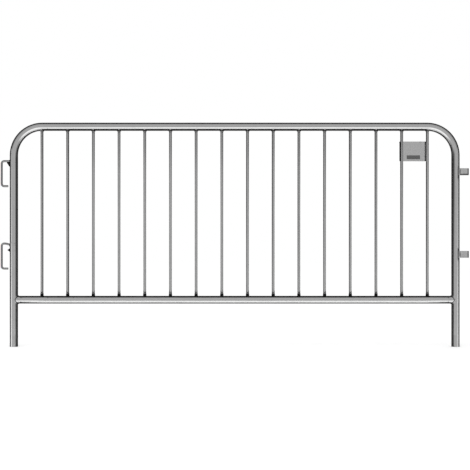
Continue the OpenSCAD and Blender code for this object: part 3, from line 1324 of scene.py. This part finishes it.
def make_loop_shades():
    """Small dark cards beside the loops, for the dark line down each bend."""
    size = (LOOP_SHADE_FAR_Y - LOOP_SHADE_NEAR_Y, LOOP_SHADE_H)
    middle_y = (LOOP_SHADE_NEAR_Y + LOOP_SHADE_FAR_Y) / 2
    for node, z in LOOP_Z.items():
        make_card_pair(f"{node}_shade", SHADE_DARK, size, (LOOP_SHADE_X, middle_y, z), FIN)


# Cards beside the bars: so many bars from the left and from the right have a dark one towards the middle
LEFT_BARS = 2
RIGHT_BARS = 8
BAR_SHADE_GAP = 0.020
BAR_SHADE_DEPTHS = (0.022, 0.038)
RIGHT_SHADE_FADE = 0.55
BAR_PALE_GREY = 0.44
RIGHT_PALE_GREY = 0.62
BAR_PALE_HEAD_GREY = 0.0
BAR_PALE_START = 0.0
BAR_PALE_REACH = 0.030
BAR_PALE_CLEAR = 0.026
BAR_PALE_Y = 0.0005


def make_bar_shade(name, x, low_z, high_z, low_fade=0.0):
    """A dark card close beside a bar."""
    make_shade(name, SHADE_DARK, x, BAR_SHADE_DEPTHS, low_z, high_z, low_fade)


def make_bar_pale(name, grey, x, low_z, high_z):
    """Pale cards close beside a bar, on either face of the dark ones in the panel's plane, darker upwards.

    A stretch that is too short for them gets none.
    """
    height = high_z - low_z - 2 * BAR_PALE_CLEAR
    if height < SLACK:
        return
    place = (x, BAR_PALE_Y, (low_z + high_z) / 2)
    make_card_pair(name, grey, (BAR_PALE_REACH, height), place, UPRIGHT,
                   head_grey=BAR_PALE_HEAD_GREY, start=BAR_PALE_START)


def make_bar_cards():
    """Cards beside the bars: those at either end are dark on the side of the middle, all others pale."""
    for number, x in enumerate(BAR_X):
        from_right = number >= BAR_COUNT - RIGHT_BARS
        for _, side in SIDES:
            heights = [(RAIL_OVER, TUBE_UNDER)]
            faces_plate = (number, side) in ((PLATE_BAR, 1), (PLATE_BAR + 1, -1))
            if faces_plate:
                heights = [(RAIL_OVER, PLATE_LOW.z), (PLATE_HIGH.z, TUBE_UNDER)]
            for part, (low_z, high_z) in enumerate(heights):
                name = f"{BAR_NAMES[number]}_card_{side + 1}_{part}"
                if side > 0 and number < LEFT_BARS:
                    make_bar_shade(name, x + BAR_R + BAR_SHADE_GAP, low_z, high_z)
                elif side < 0 and from_right:
                    fade = RIGHT_SHADE_FADE if part == 0 else 0
                    make_bar_shade(name, x - BAR_R - BAR_SHADE_GAP, low_z, high_z, fade)
                else:
                    grey = RIGHT_PALE_GREY if from_right else BAR_PALE_GREY
                    make_bar_pale(name, grey, x + side * (BAR_R + BAR_PALE_REACH / 2), low_z, high_z)


# Flat cards on the floor, over and under the rail and under the top tube: grey, width and depth, z
FLOOR_CARD_Z = 0.003
FLOOR_BAND_GREY = 0.40
FLOOR_BAND_SIZE = (2.1, 0.32)
FLOOR_BAND_Y = 0.46
FLAT_CARDS = {
    "floor_strip": (1.0, (2.1, 0.60), FLOOR_CARD_Z),
    "rail_flag": (0.02, (2.12, 0.046), RAIL_Z + 0.035),
    "rail_under_flag": (0.02, (2.12, 0.030), RAIL_Z - 0.027),
    "top_flag": (0.03, (1.90, 0.045), TOP_Z - 0.026),
}


def make_flat_cards():
    """The bright floor that the tubes show from below, and the dark lines along their edges."""
    for name, (grey, size, z) in FLAT_CARDS.items():
        make_card(name, grey, size, (0, 0, z), FLAT)
    make_card_pair("floor_band", FLOOR_BAND_GREY, FLOOR_BAND_SIZE, (0, FLOOR_BAND_Y, FLOOR_CARD_Z), FLAT)


WHITE = grey_colour(1)
BACKDROP_STRENGTH = 1
FILL_STRENGTH = 0.85


def make_world():
    """A white backdrop for the camera and for reflections, and a soft fill light for the rest."""
    world = bpy.data.worlds.new("studio")
    bpy.context.scene.world = world
    world.use_nodes = True
    tree = world.node_tree
    tree.nodes.clear()
    path = add_node(tree, "ShaderNodeLightPath")
    seen = add_math(tree, "MAXIMUM", path["Is Camera Ray"], path["Is Glossy Ray"])
    seen_all = add_math(tree, "MAXIMUM", seen, path["Is Transmission Ray"])
    fill, backdrop = (
        add_node(tree, "ShaderNodeBackground", {"Color": WHITE, "Strength": strength})["Background"]
        for strength in (FILL_STRENGTH, BACKDROP_STRENGTH)
    )
    mix = add_node(tree, "ShaderNodeMixShader", {"Fac": seen_all, 1: fill, 2: backdrop})["Shader"]
    add_node(tree, "ShaderNodeOutputWorld", {"Surface": mix})


LAMP_POWER = 30
LAMP_SIZE = 3
LAMP_PLACE = Vector((-1.2, -2.2, 3.6))
LAMP_AIM = Vector((0, 0, 0.4))


def make_lamp():
    """A soft box above the front, for the shadow on the floor."""
    lamp = bpy.data.lights.new("soft_box", "AREA")
    lamp.energy = LAMP_POWER
    lamp.size = LAMP_SIZE
    body = bpy.data.objects.new("soft_box", lamp)
    body.location = LAMP_PLACE
    body.rotation_euler = (LAMP_AIM - LAMP_PLACE).to_track_quat("-Z", "Y").to_euler()
    body.visible_glossy = False
    bpy.context.scene.collection.objects.link(body)


CAMERA_DISTANCE = 5.0
CAMERA_HEIGHT = 0.5480
CAMERA_SIDE = 0.0016
FIELD_WIDTH = 2.3101
SENSOR = 36.0


def make_camera():
    """A camera square to the panel's front; the field is as wide as the photograph is at the panel."""
    lens = bpy.data.cameras.new("camera")
    lens.sensor_width = SENSOR
    lens.lens = SENSOR * CAMERA_DISTANCE / FIELD_WIDTH
    camera = bpy.data.objects.new("camera", lens)
    camera.location = (CAMERA_SIDE, -CAMERA_DISTANCE, CAMERA_HEIGHT)
    camera.rotation_euler = (math.pi / 2, 0, 0)
    bpy.context.scene.collection.objects.link(camera)
    bpy.context.scene.camera = camera


make_floor()
make_tent()
make_edge_flags()
make_side_screens()
make_leg_shades()
make_loop_shades()
make_bar_cards()
make_flat_cards()
make_world()
make_lamp()
make_camera()
bpy.context.scene.view_settings.view_transform = "Standard"
